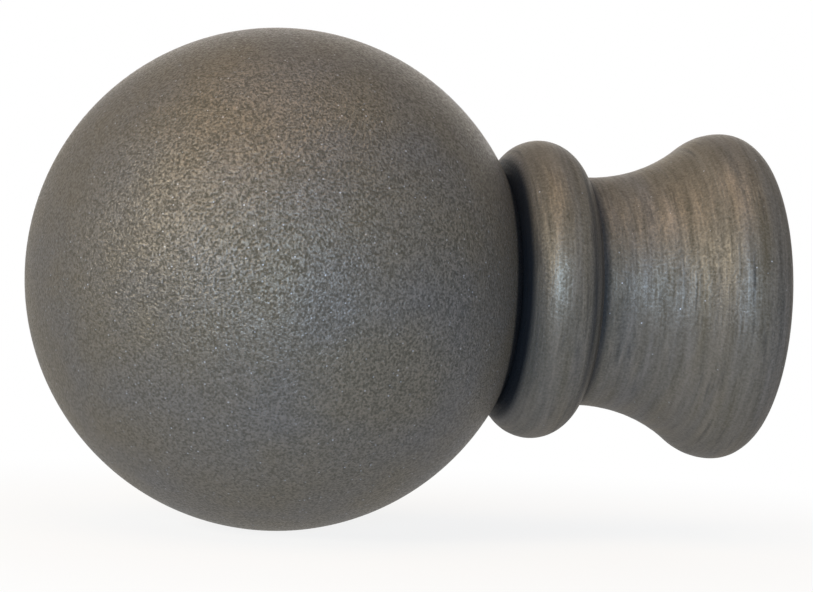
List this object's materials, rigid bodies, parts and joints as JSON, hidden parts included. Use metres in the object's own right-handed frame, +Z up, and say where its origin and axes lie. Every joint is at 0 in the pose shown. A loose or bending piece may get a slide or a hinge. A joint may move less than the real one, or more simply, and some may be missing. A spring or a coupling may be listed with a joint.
{
  "type": "curtain pole finial",
  "caption": "Ball finial for the end of a curtain pole: round ball, bead and hollow neck that flares to a rounded lip with a blind socket for the pole.",
  "frame": {"origin": "centre of the socket floor, where the end of the pole seats", "axes": "+X along the axis out of the socket mouth, towards the pole; the ball is on the -X side; +Z up with the pole level"},
  "size_m": [0.089, 0.06, 0.06],
  "materials": {
    "gunmetal": "satin gunmetal lacquer, fine sparkle grain on the ball, lathe-brushed round the bead and neck"
  },
  "bodies": {
    "root": {"ball_finial": "gunmetal"}
  },
  "joints": []
}
